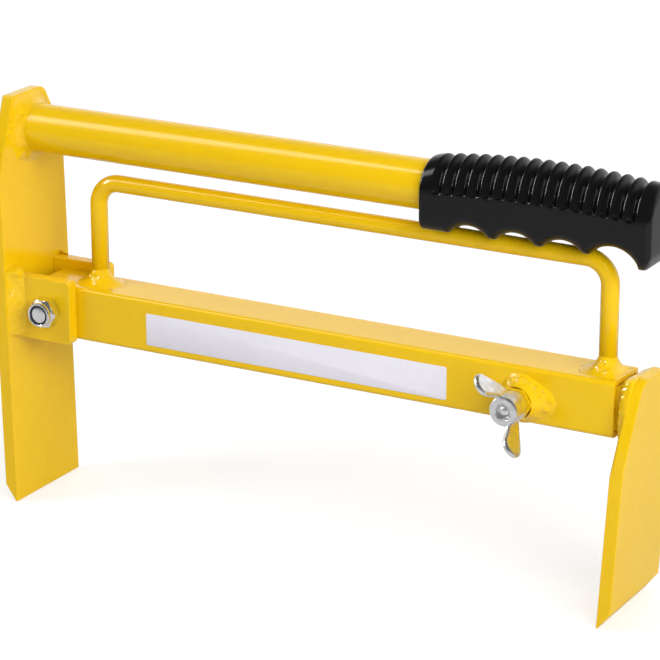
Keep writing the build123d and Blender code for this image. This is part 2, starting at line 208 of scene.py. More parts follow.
def surface_finish(name, light, deep, roughness, specular, grain_scale, relief, mask_scale, metallic=0.0):
    """Makes a finish: two tones by the handling mask, a roughness range, and grain as a shallow relief."""
    finish, tree, shader = new_finish(name)
    mask = use_group(tree, handling, {"Scale": mask_scale})
    height = use_group(tree, grain, {"Scale": grain_scale})
    tone = add_node(tree, "ShaderNodeMix", {"A": (*light, 1.0), "B": (*deep, 1.0)}, data_type="RGBA")
    shine = add_node(tree, "ShaderNodeMapRange", {"To Min": roughness[0], "To Max": roughness[1]})
    bump = add_node(tree, "ShaderNodeBump", {"Strength": relief, "Distance": relief_depth})
    wire(tree, (mask, "Mask", tone, "Factor"), (mask, "Mask", shine, "Value"), (height, "Height", bump, "Height"),
         (tone, "Result", shader, "Base Color"), (shine, "Result", shader, "Roughness"),
         (bump, "Normal", shader, "Normal"))
    set_inputs(shader, {"Metallic": metallic, "Specular IOR Level": specular})
    return finish


print("finish recipe ready, relief", round(relief_depth / mm, 2), "mm deep")

# %% Paint, metal and plastic
yellow = surface_finish(
    "yellow powder coat", (0.83, 0.522, 0.004), (0.80, 0.492, 0.003), roughness=(0.12, 0.18),
    specular=0.36, grain_scale=420.0, relief=0.08, mask_scale=18.0)
weld_yellow = surface_finish(
    "yellow over weld", (0.83, 0.522, 0.004), (0.78, 0.472, 0.003), roughness=(0.07, 0.13),
    specular=0.50, grain_scale=900.0, relief=0.25, mask_scale=90.0)
black = surface_finish(
    "satin black grip", (0.0036, 0.0036, 0.0039), (0.0028, 0.0028, 0.0031), roughness=(0.13, 0.18),
    specular=0.28, grain_scale=3500.0, relief=0.015, mask_scale=40.0)
zinc = surface_finish(
    "bright zinc", (0.92, 0.93, 0.94), (0.68, 0.69, 0.71), roughness=(0.12, 0.24),
    metallic=1.0, specular=0.5, grain_scale=1400.0, relief=0.15, mask_scale=160.0)
cast_zinc = surface_finish(
    "cast zinc", (0.94, 0.95, 0.96), (0.66, 0.67, 0.69), roughness=(0.24, 0.40),
    metallic=1.0, specular=0.5, grain_scale=1500.0, relief=0.90, mask_scale=420.0)
# Dark blue-grey: partly the nylon's own colour, partly painted shade of the narrow gap under the nut's rolled lip.
nylon = surface_finish(
    "dark nylon with painted gap shade", (0.020, 0.022, 0.030), (0.014, 0.015, 0.022), roughness=(0.40, 0.55),
    specular=0.4, grain_scale=2500.0, relief=0.10, mask_scale=120.0)
vinyl = surface_finish(
    "white vinyl", (0.76, 0.735, 0.805), (0.73, 0.705, 0.775), roughness=(0.28, 0.36),
    specular=0.3, grain_scale=900.0, relief=0.04, mask_scale=30.0)
print("finishes:", [m.name for m in (yellow, weld_yellow, black, zinc, cast_zinc, nylon, vinyl)])

# %% [markdown]
# ## Cut steel with softened edges
# Sawn plate and tube have edges that the powder rounds over. Each is taken from its CAD node: the flat faces are
# merged, then every sharp corner gets a small round, so that it catches a line of light as paint does. A bevel in
# the mesh is used and not a bevel in the material, because it also shows in the outline. The jaw plates are dressed
# on a grinder round the top of one face, and the lever's rear corner is ground to a wider round.

# %% Grinding
corner_drop, corner_side, crop_start = 2.5 * mm, 9 * mm, 12.5 * mm


def grind_corner(shape, side, growth):
    """Scales the arc at one top corner of a plate about the point where the corner's slope begins."""
    top = max(v.co.z for v in shape.verts)
    arc = [v for v in shape.verts if v.co.z > top - corner_drop and side * v.co.y > corner_side]
    middle_x = sum(v.co.x for v in arc) / len(arc)
    for half in ([v for v in arc if v.co.x < middle_x], [v for v in arc if v.co.x >= middle_x]):
        level = max(v.co.z for v in half)
        for v in half:
            v.co.y = side * crop_start + (v.co.y - side * crop_start) * growth
            v.co.z = level + (v.co.z - level) * growth


def round_edges(shape, edges, width, steps):
    """Rounds edges over by a width."""
    bmesh.ops.bevel(shape, geom=edges, offset=width, segments=steps, profile=0.5, affect="EDGES", clamp_overlap=True)


def dress_rim(shape, side, low, width):
    """Grinds the rim of the face that looks to one side along X, above a height."""
    rim = [e for e in shape.edges if all(v.co.z > low for v in e.verts)
           and any(side * f.normal.x > 0.9 for f in e.link_faces)]
    round_edges(shape, rim, width, 4)
    print("rim of", len(rim), "edges dressed by", round(width / mm, 1), "mm")


print("corner slopes begin", round(crop_start / mm, 1), "mm from the middle")

# %% Softening
flat_angle, sharp_angle = radians(1.0), radians(35.0)


def soften(node, edge, body, corners=(), dressed=None):
    """Copies a CAD node's mesh, merges its flat faces, grinds it where asked and rounds its sharp edges.

    A corner is its side along Y and its growth. Dressed is a side along X, a least height and a width.
    """
    name = node + "_painted"
    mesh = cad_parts[node].data.copy()
    mesh.name = name
    shape = bmesh.new()
    shape.from_mesh(mesh)
    bmesh.ops.remove_doubles(shape, verts=shape.verts, dist=0.001 * mm)
    bmesh.ops.dissolve_limit(shape, angle_limit=flat_angle, verts=shape.verts, edges=shape.edges)
    for side, growth in corners:
        grind_corner(shape, side, growth)
    if dressed:
        dress_rim(shape, *dressed)
    round_edges(shape, [e for e in shape.edges if e.is_manifold and e.calc_face_angle() > sharp_angle], edge, 3)
    shape.to_mesh(mesh)
    shape.free()
    if "custom_normal" in mesh.attributes:
        mesh.attributes.remove(mesh.attributes["custom_normal"])
    mesh.shade_smooth()
    piece = bpy.data.objects.new(name, mesh)
    scene.collection.objects.link(piece)
    even = piece.modifiers.new("even shading", "WEIGHTED_NORMAL")
    even.keep_sharp = True
    return settle(piece, body, yellow, [node])


print("edges over", round(math.degrees(sharp_angle)), "degrees are rounded")

# %% Plates and tubes
plate_edge, tube_edge, nut_edge, ground_edge = 0.5 * mm, 0.3 * mm, 0.4 * mm, 1.7 * mm
soften("lever_plate", plate_edge, "lever",
       corners=((-1, 0.4), (1, 2.2)), dressed=(-1, 150 * mm, ground_edge))
soften("slide_jaw", plate_edge, "slide", dressed=(-1, 70 * mm, ground_edge))
soften("front_ear", plate_edge, "lever")
soften("rear_ear", plate_edge, "lever")
soften("beam_tube", tube_edge, "beam")
soften("slide_bar", tube_edge, "slide")
soften("lock_nut", nut_edge, "beam")

# %% [markdown]
# The carrying loop is one 8 mm rod bent twice. It is swept along its own centre line, so its bends are
# as round as a bending roller leaves them.

# %% Centre line of the carrying loop
loop_lo, loop_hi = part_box("carry_loop")
rod_radius = (loop_hi.y - loop_lo.y) / 2
bend_radius, bend_steps = 11.0 * mm, 14
left_leg = loop_lo.x + rod_radius
right_leg = loop_hi.x - rod_radius
loop_top = loop_hi.z - rod_radius
spine = [(left_leg, loop_lo.z, 90.0)]
for leg_x, inward, begin in ((left_leg, 1, 180.0), (right_leg, -1, 90.0)):
    for k in range(bend_steps + 1):
        turn = radians(begin - 90.0 * k / bend_steps)
        spine.append((leg_x + bend_radius * (inward + cos(turn)),
                      loop_top - bend_radius * (1 - sin(turn)), math.degrees(turn) - 90.0))
spine.append((right_leg, loop_lo.z, -90.0))
print("loop:", len(spine), "places along a rod of", round(2 * rod_radius / mm, 1), "mm")

# %% Carrying loop
rod_sides = 32
rows = []
for x, z, heading in spine:
    out = Vector((-sin(radians(heading)), 0, cos(radians(heading))))
    row = []
    for k in range(rod_sides):
        turn = 2 * math.pi * k / rod_sides
        around = cos(turn) * out + sin(turn) * Vector((0, 1, 0))
        row.append(Vector((x, 0, z)) + rod_radius * around)
    rows.append(row)
points, faces = join_rows(rows)
make_piece("carry_loop_rod", points, faces, "beam", yellow, ["carry_loop"])

# %% [markdown]
# ## Welds
# A fillet weld fills the corner between two pieces. Each bead here is a row of sections: a root in the corner,
# a leg along each piece, and a face between the toes that is hollow or full. Slow noise pushes the face out in
# lumps, and a few drops of spatter stand out of it as they do under paint. Sculpting would give the same look, but
# a rule can be run again and follows the CAD model.

# %% Weld bead
fine_lumps, fine_scale = 0.5, 2.3


def weld_face(run, u, v, hollow):
    """A point of a bead's face at shares u along it and v across it, with the way out of the corner there."""
    root, leg_a, leg_b = run(u)
    turn = v * math.pi / 2
    spot = root + leg_a * cos(turn) ** hollow + leg_b * sin(turn) ** hollow
    return spot, (leg_a.normalized() + leg_b.normalized()).normalized()


def weld_bead(node, run, count, hollow, lumps, body, loop=True, drops=(), across=25, grain_size=3.2):
    """Makes a bead in place of a CAD node. run(u) gives the root and the two legs. Lumps and grain are in millimetres.

    A face bent by 2 is flat, less is full and more is hollow. A drop is its shares along and across the bead,
    then its height and its size in millimetres.
    """
    spots = [(weld_face(run, u, v, hollow)[0], height, size) for u, v, height, size in drops]
    rows = []
    for i in range(count):
        u = i / count if loop else i / (count - 1)
        row = [run(u)[0]]
        for k in range(across):
            v = k / (across - 1)
            spot, out = weld_face(run, u, v, hollow)
            wave = spot / (grain_size * mm)
            rough = noise.noise(wave) + fine_lumps * noise.noise(fine_scale * wave)
            stand = lumps * sin(v * math.pi) * rough
            for centre, height, size in spots:
                stand += height * math.exp(-((spot - centre).length / (size * mm)) ** 2)
            row.append(spot + out * stand * mm)
        rows.append(row)
    points, faces = join_rows(rows, loop=loop)
    return make_piece(node + "_bead", points, faces, body, weld_yellow, [node])


bite, plate_bite = 0.1 * mm, 0.2 * mm
print("roots sit", round(bite / mm, 1), "mm into tube and", round(plate_bite / mm, 1), "mm into plate")

# %% [markdown]
# The loop's feet carry hollow fillets that run out thin on the rod and the beam, because the rod stands on the
# middle of the beam and the welder can go right round it. The right foot is near the beam's open end, so its
# bead stops short there.

# %% Loop foot welds
foot_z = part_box("loop_weld_left")[0].z
beam_lo, beam_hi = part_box("beam_tube")
end_gap, foot_height, foot_narrowing = 0.8 * mm, 8.0 * mm, 0.18
left_toe, right_toe = 8.2 * mm, 8.4 * mm


def foot_run(centre_x, spread):
    """Goes round one foot of the loop: one leg out over the beam, short of its end, and one up the rod."""
    def run(u):
        turn = 2 * math.pi * u
        out = Vector((cos(turn), sin(turn), 0))
        root = Vector((centre_x, 0, foot_z)) + out * (rod_radius - bite)
        wide = spread * (1 - foot_narrowing * out.y ** 2)
        if out.x > 0:
            wide = min(wide, (beam_hi.x - end_gap - centre_x) / out.x - rod_radius)
        return root, out * wide, Vector((0, 0, foot_height))
    return run


left_drops = [(0.64, 0.60, 0.7, 0.7), (0.70, 0.68, 0.8, 0.6), (0.75, 0.70, 0.7, 0.6),
              (0.83, 0.60, 0.9, 0.7), (0.79, 0.5, 0.5, 0.9)]
right_drops = [(0.69, 0.60, 0.8, 0.7), (0.72, 0.62, 0.5, 0.6), (0.79, 0.66, 1.0, 0.75),
               (0.81, 0.45, 1.0, 0.9), (0.85, 0.50, 0.8, 0.7)]
weld_bead("loop_weld_left", foot_run(left_leg, left_toe), count=220, hollow=3.2, lumps=0.18, body="beam",
          drops=left_drops)
weld_bead("loop_weld_right", foot_run(right_leg, right_toe), count=220, hollow=3.1, lumps=0.26, body="beam",
          drops=right_drops)

# %% [markdown]
# The handle tube is welded all round to the face of the plate. The plate leans a little, so the roots lean with
# it, and the bead narrows where the plate's top and sloping edges come close to the tube.

# %% Handle weld
plate_lean = radians(1.3)
tube_lo, tube_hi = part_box("handle_tube")
handle_z = (tube_lo.z + tube_hi.z) / 2
handle_radius = (tube_hi.z - tube_lo.z) / 2
ear_lo, ear_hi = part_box("front_ear")
tube_leg, plate_leg = 5.2 * mm, 7.2 * mm
# Each edge of the plate by the Y and Z of the way it faces, and its distance from the tube's axis
plate_edges = ((0.0, 1.0, 16.1 * mm), (-0.936, 0.351, 17.1 * mm), (0.876, 0.483, 18.3 * mm))


def on_plate(z):
    """X of the plate's inner face at a height."""
    return ear_lo.x - (z - ear_hi.z) * math.tan(plate_lean)


def handle_run(u):
    """Goes round the handle tube; the leg on the plate stops short of the plate's top and sloping edges."""
    turn = 2 * math.pi * u
    out = Vector((0, cos(turn), sin(turn)))
    z = handle_z + handle_radius * sin(turn)
    root = Vector((on_plate(z) - plate_bite, 0, handle_z)) + out * (handle_radius - bite)
    wide = plate_leg
    for face_y, face_z, reach in plate_edges:
        facing = face_y * out.y + face_z * out.z
        if facing > 0:
            wide = min(wide, reach / facing - handle_radius)
    return root, Vector((tube_leg, 0, 0)), out * wide


handle_drops = [(0.43, 0.35, 0.8, 1.1), (0.40, 0.30, 0.7, 0.9), (0.46, 0.42, 0.6, 1.0),
                (0.47, 0.76, 1.0, 1.0), (0.44, 0.82, 1.0, 0.9), (0.50, 0.78, 0.9, 1.0),
                (0.64, 0.60, 0.5, 1.6), (0.70, 0.5, 0.5, 1.4), (0.77, 0.55, 0.4, 1.5)]
weld_bead("handle_weld", handle_run, count=300, hollow=2.9, lumps=0.22, body="lever",
          drops=handle_drops, grain_size=4.5)

# %% [markdown]
# Each ear is welded down its outer side. The bead stands up in a blob at the front ear's top and is rounded over at
# both ends, so it is an open row of sections and not a loop.

# %% Ear welds
ear_leg, ear_plate_leg = 6.6 * mm, 6.4 * mm
front_rise, rear_rise = 4.5 * mm, 1.5 * mm
end_share, end_height = 0.12, 0.02


def ear_run(node, side):
    """Goes up one ear's outer side, and rounds over at both ends."""
    lo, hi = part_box(node)
    face_y = hi.y if side < 0 else lo.y
    rise = front_rise if side < 0 else rear_rise

    def run(u):
        z = lo.z + (hi.z + rise - lo.z) * u
        past = max(0.0, (abs(u - 0.5) - (0.5 - end_share)) / end_share)
        full = min(1.0, math.sqrt(max(0.0, 1 - past ** 2)) + end_height)
        root = Vector((on_plate(z) - plate_bite, face_y - side * plate_bite, z))
        return root, Vector((0, side * ear_leg * full, 0)), Vector((ear_plate_leg * full, 0, 0))
    return run


ear_drops = [(0.93, 0.45, 1.6, 2.4), (0.89, 0.60, 0.8, 1.2), (0.96, 0.6, 0.8, 1.0),
             (0.94, 0.22, 0.8, 0.9), (0.7, 0.25, 0.4, 1.5), (0.5, 0.3, 0.4, 1.8)]
weld_bead("front_ear_weld", ear_run("front_ear_weld", -1), count=140, hollow=2.45, lumps=0.45, body="lever",
          loop=False, drops=ear_drops, grain_size=4.5)
weld_bead("rear_ear_weld", ear_run("rear_ear_weld", 1), count=140, hollow=2.3, lumps=0.45, body="lever",
          loop=False, grain_size=4.5)

# %% [markdown]
# The nut for the lock screw is tacked all round in thick blobs, most of all above it and to its right. Two bumps
# on the bead's width, each a bell curve round the nut, put the weight there.

# %% Lock nut weld
stud_lo, stud_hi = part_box("lock_stud")
lock_x = (stud_lo.x + stud_hi.x) / 2
lock_z = (stud_lo.z + stud_hi.z) / 2
# In millimetres, with the place and the spread of a bump in radians round the nut
nut_round, nut_leg, tack_width = 7.3, 6.2, 3.2
right_bump, right_spread = 6.4, 0.6
top_bump, top_place, top_spread = 1.5, 1.8, 0.7


def nut_run(u):
    """Goes round the lock nut: one leg out over the beam, one up the nut's side."""
    turn = 2 * math.pi * u
    out = Vector((cos(turn), 0, sin(turn)))
    root = Vector((lock_x, beam_lo.y + bite, lock_z)) + out * nut_round * mm
    wide = tack_width + right_bump * math.exp(-((turn if turn < math.pi else turn - 2 * math.pi) / right_spread) ** 2)
    wide += top_bump * math.exp(-((turn - top_place) / top_spread) ** 2)
    return root, out * wide * mm, Vector((0, -nut_leg * mm, 0))


nut_drops = [(0.23, 0.42, 1.1, 0.9), (0.26, 0.44, 0.9, 0.8), (0.20, 0.40, 1.0, 0.9), (0.31, 0.45, 1.2, 0.8),
             (0.35, 0.40, 0.9, 0.7), (0.165, 0.40, 0.9, 0.8), (0.12, 0.42, 1.3, 0.8), (0.10, 0.56, 0.9, 0.7),
             (0.075, 0.34, 1.2, 0.8), (0.055, 0.50, 1.1, 0.7), (0.02, 0.34, 1.0, 1.0), (0.97, 0.42, 0.9, 1.0)]
weld_bead("lock_nut_weld", nut_run, count=260, hollow=2.55, lumps=0.45, body="beam",
          drops=nut_drops, across=31, grain_size=3.0)

# %% [markdown]
# The sliding jaw is welded round the end of its square bar in a full bead that reaches the plate's front edge. The
# plate leans and its top corner is cropped, so the bead is trimmed there to end at that edge.

# %% Jaw weld
jaw_lean = radians(3.3)
jaw_weld_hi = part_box("jaw_weld")[1]
bar_lo, bar_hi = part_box("slide_bar")
bar_half = (bar_hi.y - bar_lo.y) / 2
bar_z = (bar_lo.z + bar_hi.z) / 2
jaw_lo, jaw_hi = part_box("slide_jaw")
crop_width, crop_height = 13.5 * mm, 36.0 * mm
squareness, corner_pull = 8, 0.75
jaw_sunk, jaw_leg, jaw_proud = 2.0 * mm, 5.9 * mm, 0.15 * mm
# In millimetres
jaw_width, front_width, trim_step = 4.2, 3.3, 0.05


def jaw_edge(z):
    """Y of the jaw plate's front edge at a height."""
    return jaw_lo.y + crop_width * max(0.0, 1 - (jaw_hi.z - z) / crop_height)


def jaw_run(u):
    """Goes round the square bar at the face of the jaw plate."""
    turn = 2 * math.pi * u
    across, up = cos(turn), sin(turn)
    reach = (abs(across) ** squareness + abs(up) ** squareness) ** (-1 / squareness)
    corner = Vector((0, across * reach, up * reach)) * (bar_half - bite)
    z = bar_z + corner.z
    face_x = jaw_weld_hi.x - (jaw_weld_hi.z - z) * math.tan(jaw_lean)
    away = Vector((0, math.copysign(abs(across) ** corner_pull, across), math.copysign(abs(up) ** corner_pull, up)))
    wide = jaw_width + front_width * max(0.0, -across)
    while corner.y + away.y * wide * mm < jaw_edge(z + away.z * wide * mm) - jaw_proud:
        wide -= trim_step
    return Vector((face_x + jaw_sunk, corner.y, z)), Vector((-jaw_leg, 0, 0)), away * wide * mm


jaw_drops = [(0.40, 0.55, 0.5, 0.9), (0.43, 0.62, 0.6, 0.8), (0.46, 0.5, 0.4, 0.8),
             (0.49, 0.6, 0.4, 0.7), (0.53, 0.55, 0.4, 0.9)]
weld_bead("jaw_weld", jaw_run, count=260, hollow=0.75, lumps=0.06, body="slide", drops=jaw_drops)

# %% [markdown]
# ## The grip
# The grip is the most worked piece: a crown of rounded ribs, a parting ledge along each side, finger grooves that
# flare out at the sides, and a flange at its end. Cutting it with booleans would leave ragged faces that shade
# badly. So it is made station by station along the handle. Each station is one closed section, and all have the
# same number of points, so the ribs and grooves run on smoothly.

# %% Grip measures
grip_lo, grip_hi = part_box("handle_grip")
grip_half = (grip_hi.y - grip_lo.y) / 2
grip_length = grip_hi.x - grip_lo.x
grip_floor = loop_hi.z + 0.3 * mm
crown_mid, crown_fall, crown_lean = 18.2 * mm, 3.85 * mm, 0.3 * mm
rib_first, rib_pitch, rib_count = grip_lo.x + 8.6 * mm, 5.91 * mm, 15
rib_depth, rib_side_depth, rib_set_in = 2.75 * mm, 2.0 * mm, 0.25 * mm
collar_fall, collar_curve = 0.6 * mm, 1.5
ledge_rise, ledge_round, ledge_scallop = 2.6 * mm, 0.35 * mm, 0.8 * mm
print("grip", round(grip_length / mm, 1), "mm long with", rib_count, "ribs")

# %% Groove measures
# Places along the grip in millimetres
groove_first, groove_pitch, groove_last = 22.1, 21.7, 88.0
groove_flare, groove_blend = 5.5 * mm, 0.5 * mm
floor_corner, flange_corner = 5.5 * mm, 6.0 * mm
# Each groove's centre, radius and depth
grooves = [(grip_lo.x + (groove_first + groove_pitch * k) * mm, 12.2 * mm, 4.3 * mm) for k in range(3)]
grooves.append((grip_lo.x + groove_last * mm, 13.6 * mm, 4.8 * mm))
flange_from, flange_drop = grooves[-1][0], 3.5 * mm
print(len(grooves), "finger grooves, and a flange from", round((flange_from - grip_lo.x) / mm, 1), "mm on")

# %% [markdown]
# The ribs are one cosine wave along the crown, between collars that fall off to the ends. The underside is a rounded
# floor, and each finger groove lifts it along an arc that widens towards the sides.


# %% Crown, ribs and grooves
def rib_sink(x):
    """How far the ribs are sunk at a station, from 0 on a crest to 1 in a valley, and the collars' drop."""
    first = rib_first - rib_pitch / 2
    last = rib_first + (rib_count + 0.5) * rib_pitch
    if x < first:
        return 0.0, rib_set_in + collar_fall * ((first - x) / (first - grip_lo.x)) ** collar_curve
    if x > last:
        return 0.0, rib_set_in + collar_fall * ((x - last) / (grip_hi.x - last)) ** collar_curve
    return (1 + cos(2 * math.pi * (x - rib_first) / rib_pitch)) / 2, rib_set_in


def smooth_max(a, b, blend):
    """The larger of two heights, with a small round where they cross."""
    near = max(blend - abs(a - b), 0.0) / blend
    return max(a, b) + near * near * blend / 4


def grip_underside(x, y):
    """Height of the grip's underside: a rounded floor, cut by the finger grooves."""
    floor = grip_floor - flange_drop if x >= flange_from else grip_floor
    corner = flange_corner if x >= flange_from else floor_corner
    inset = max(0.0, abs(y) - (grip_half - corner))
    level = floor + corner - math.sqrt(max(0.0, corner ** 2 - inset ** 2))
    flare = max(0.0, abs(y) - (grip_half - groove_flare))
    widen = groove_flare - math.sqrt(max(0.0, groove_flare ** 2 - flare ** 2))
    for centre, radius, depth in grooves:
        reach = radius + widen
        away = abs(x - centre)
        if away < reach:
            cut = grip_floor + depth - radius + math.sqrt(reach ** 2 - away ** 2)
            level = smooth_max(level, cut, groove_blend)
    return level


first_groove = grip_underside(grooves[0][0], 0) - grip_floor
print("groove height in the middle of the first groove:", round(first_groove / mm, 2), "mm")

# %% [markdown]
# One section goes over the crown, down the front, across the underside and up the back. Where a valley meets the
# ledge there is a small hollow, and the ledge's lip is bent over, so that each valley ends in a soft scallop.

# %% One section of the grip
crown_points, side_points, floor_points, fillet_points = 57, 7, 41, 5
hollow_share, least_bend = 0.4, 0.02 * mm
bend_shape = ((1, 0), (0.62, 0.08), (0.3, 0.3), (0.08, 0.62), (0, 1))


def grip_section(x):
    """One closed section: over the crown, down the front, across the underside and up the back."""
    share = (x - (grip_lo.x + grip_hi.x) / 2) / (grip_length / 2)
    sunk, drop = rib_sink(x)
    crown = crown_mid - crown_fall * share ** 2 + crown_lean * share - drop - sunk * rib_depth
    ledge = ledge_rise * (1 - share ** 2) + ledge_scallop * (0.5 - sunk)
    wall = sunk * rib_side_depth
    hollow = hollow_share * wall
    start = math.asin((ledge + hollow) / crown)
    half = (grip_half - wall) / cos(start)
    section = []
    for k in range(crown_points):
        turn = start + (math.pi - 2 * start) * k / (crown_points - 1)
        section.append((half * cos(turn), handle_z + crown * sin(turn)))
    rim = handle_z + ledge
    fillet = []
    for k in range(1, fillet_points + 1):
        turn = radians(90.0 / fillet_points * k)
        fillet.append((wall - hollow * (1 - cos(turn)), hollow * (sin(turn) - 1)))
    bent = max(least_bend, min(ledge_round, hollow))
    bend = [(bent * inward, bent * down) for inward, down in bend_shape]
    low = grip_underside(x, grip_half)
    side = [(0.0, bent + (rim - bent - low) * k / side_points) for k in range(1, side_points)]
    front = [(-(grip_half - inward), rim - down) for inward, down in fillet + bend + side]
    floor = []
    for k in range(floor_points):
        y = grip_half * sin(math.pi * (k / (floor_points - 1) - 0.5))
        floor.append((y, grip_underside(x, y)))
    back = [(-y, z) for y, z in reversed(front)]
    return section + front + floor + back


near_section, far_section = grip_section(grip_lo.x), grip_section(grip_hi.x)
print("points in one section:", len(near_section))

# %% [markdown]
# The two ends are rounded over by shrinking the last few stations. The end wall is a row of ever smaller sections,
# cut back at the foot to a slanted facet, with a small vent in the middle. At the near end the section closes in to
# the tube.

# %% Stations along the grip
near_round, far_round, round_steps, station_step = 1.1 * mm, 2.6 * mm, 8, 0.33 * mm
# Each station's place along the grip, and how far its section is drawn in
stations = []
for k in range(round_steps):
    turn = radians(90.0 * k / round_steps)
    stations.append((grip_lo.x + near_round * (1 - cos(turn)), near_round * (1 - sin(turn))))
body_length = grip_length - near_round - far_round
inner = int(body_length / station_step)
for k in range(inner + 1):
    stations.append((grip_lo.x + near_round + body_length * k / inner, 0.0))
for k in range(round_steps - 1, -1, -1):
    turn = radians(90.0 * k / round_steps)
    stations.append((grip_hi.x - far_round * (1 - cos(turn)), far_round * (1 - sin(turn))))
print(len(stations), "stations")

# %% Ends of the grip
facet_top, facet_low = handle_z - 14.2 * mm, grip_floor - flange_drop
facet_back, facet_blend = 2.2 * mm, 7.0 * mm
vent_radius, vent_depth = 3.5 * mm, 3.4 * mm
bore_radius, bore_depth = handle_radius + 0.03 * mm, 12 * mm
end_wall = (0.94, 0.88, 0.82, 0.76, 0.70, 0.62, 0.54, 0.44)


def cut_back(x, z):
    """Slants the far end back below the facet's top edge."""
    deep = min(1.0, max(0.0, (facet_top - z) / (facet_top - facet_low)))
    near = max(0.0, 1 - (grip_hi.x - x) / facet_blend)
    return x - facet_back * deep * near


def ring_at(x, radius, section):
    """A round row that faces a section's points one by one."""
    row = []
    for y, z in section:
        turn = math.atan2(z - handle_z, y)
        row.append(Vector((x, radius * cos(turn), handle_z + radius * sin(turn))))
    return row


print("facet", round((facet_top - facet_low) / mm, 1), "mm high, vent", round(2 * vent_radius / mm, 1), "mm wide")

# %% Grip mesh
rows = [ring_at(grip_lo.x + bore_depth, bore_radius, near_section), ring_at(grip_lo.x, bore_radius, near_section)]
for x, inset in stations:
    section = grip_section(x)
    middle = (max(z for y, z in section) + min(z for y, z in section)) / 2
    tall = max(z for y, z in section) - middle
    row = []
    for y, z in section:
        y_in = y * (1 - inset / grip_half)
        z_in = middle + (z - middle) * (1 - inset / tall)
        row.append(Vector((cut_back(x, z_in), y_in, z_in)))
    rows.append(row)
end_row = rows[-1]
for share in end_wall:
    row = []
    for p in end_row:
        z = handle_z + (p.z - handle_z) * share
        row.append(Vector((cut_back(grip_hi.x, z), p.y * share, z)))
    rows.append(row)
rows.append(ring_at(grip_hi.x, vent_radius, far_section))
rows.append(ring_at(grip_hi.x - vent_depth, vent_radius, far_section))
points, faces = join_rows(rows, ends=False)
width = len(rows[0])
faces.append(tuple(range((len(rows) - 1) * width, len(rows) * width)))
grip = make_piece("handle_grip_moulded", points, faces, "lever", black, ["handle_grip"])
grip.data.set_sharp_from_angle(angle=radians(50.0))

# %% [markdown]
# ## The lock screw
# The stud has a real M8 thread: each row of points is turned a little further than the last, so the ridge winds
# along it. A bump map would do from afar, but the thread shows in the outline when the screw is backed out.

# %% Threaded stud
point_length, point_cut = 0.8 * mm, 1.1 * mm
flank_slope, crest_flat = 1.25, 0.12


def threaded_rod(start, end, centre, radius, pitch, depth, sides, steps):
    """Points and faces of a threaded rod that points along Y, with a small cone at each end."""
    length = abs(end - start)
    count = int(length / pitch * steps)
    rows = []
    for i in range(count + 1):
        along = i / count * length
        y = start + (end - start) * i / count
        taper = max(0.0, 1 - min(along, length - along) / point_length) * point_cut
        row = []
        for k in range(sides):
            turn = 2 * math.pi * k / sides
            phase = (along / pitch - k / sides) % 1.0
            sink = min(1.0, max(0.0, flank_slope * abs(2 * phase - 1) - crest_flat))
            r = min(radius - depth * sink, radius - taper)
            row.append(Vector((centre[0] + r * cos(turn), y, centre[1] + r * sin(turn))))
        rows.append(row)
    return join_rows(rows)


stud_radius = (stud_hi.x - stud_lo.x) / 2
points, faces = threaded_rod(stud_hi.y, stud_lo.y + 2.3 * mm, (lock_x, lock_z), stud_radius,
                             pitch=1.25 * mm, depth=0.65 * mm, sides=36, steps=10)
make_piece("lock_stud_threaded", points, faces, "lock_stud", zinc, ["lock_stud"])

# %% [markdown]
# The wing head is die cast, so its hub and leaves run into each other with no edge between them. They are made
# apart, joined, and melted together by a fine remesh. The hub is turned, with a rough crater in its nose. Each leaf
# is set a little to one side of the axis.

# %% Wing hub
wing_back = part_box("wing_head")[1].y
# Steps of the hub in millimetres: radius, and distance out from its back
hub_profile = [(4.45, 0.0), (6.4, 0.0), (6.7, 0.4), (6.65, 5.0), (6.6, 9.9), (6.4, 10.35), (6.0, 10.6), (3.7, 10.55),
               (3.45, 9.8), (3.2, 8.3), (2.3, 8.2), (1.9, 9.7), (0.1, 10.1), (0.1, 7.5), (4.45, 7.5)]
hub_sides, crater_from, crater_radius, crater_rough, crater_scale = 48, 8.5, 4.0, 0.55, 2.2
rows = []
for r, out in hub_profile:
    row = []
    for k in range(hub_sides):
        turn = 2 * math.pi * k / hub_sides
        place = (crater_scale * cos(turn), crater_scale * sin(turn), r)
        rough = crater_rough * noise.noise(place) if out > crater_from and r < crater_radius else 0.0
        reach = (r + rough) * mm
        row.append(Vector((lock_x + reach * cos(turn), wing_back - out * mm, lock_z + reach * sin(turn))))
    rows.append(row)
points, faces = join_rows(rows, loop=True)
print("hub of", len(points), "points")

# %% Leaf outline
# In millimetres: distance from the axis, and distance out along it
leaf_root = [(4.6, 0.3), (6.2, 0.3), (6.2, 7.4), (4.6, 7.4)]
leaf_end_r, leaf_end_out, leaf_end_round, leaf_end_points = 14.1, 15.6, 5.1, 40


def hull(found):
    """The outline that a thread pulled tight round a set of points would take."""
    found = sorted(set(found))
    tight = []
    for half in (found, found[::-1]):
        chain = []
        for p in half:
            while len(chain) > 1 and ((chain[-1][0] - chain[-2][0]) * (p[1] - chain[-2][1])
                                      - (chain[-1][1] - chain[-2][1]) * (p[0] - chain[-2][0])) <= 0:
                chain.pop()
            chain.append(p)
        tight += chain[:-1]
    return tight


leaf_end = []
for k in range(leaf_end_points):
    turn = 2 * math.pi * k / leaf_end_points
    leaf_end.append((leaf_end_r + leaf_end_round * cos(turn), leaf_end_out + leaf_end_round * sin(turn)))
outline = hull(leaf_root + leaf_end)
middle_r = sum(r for r, out in outline) / len(outline)
middle_out = sum(out for r, out in outline) / len(outline)
print("leaf outline of", len(outline), "points")

# %% Wing head
wing_angle, leaf_offset = radians(127.0), 2.0
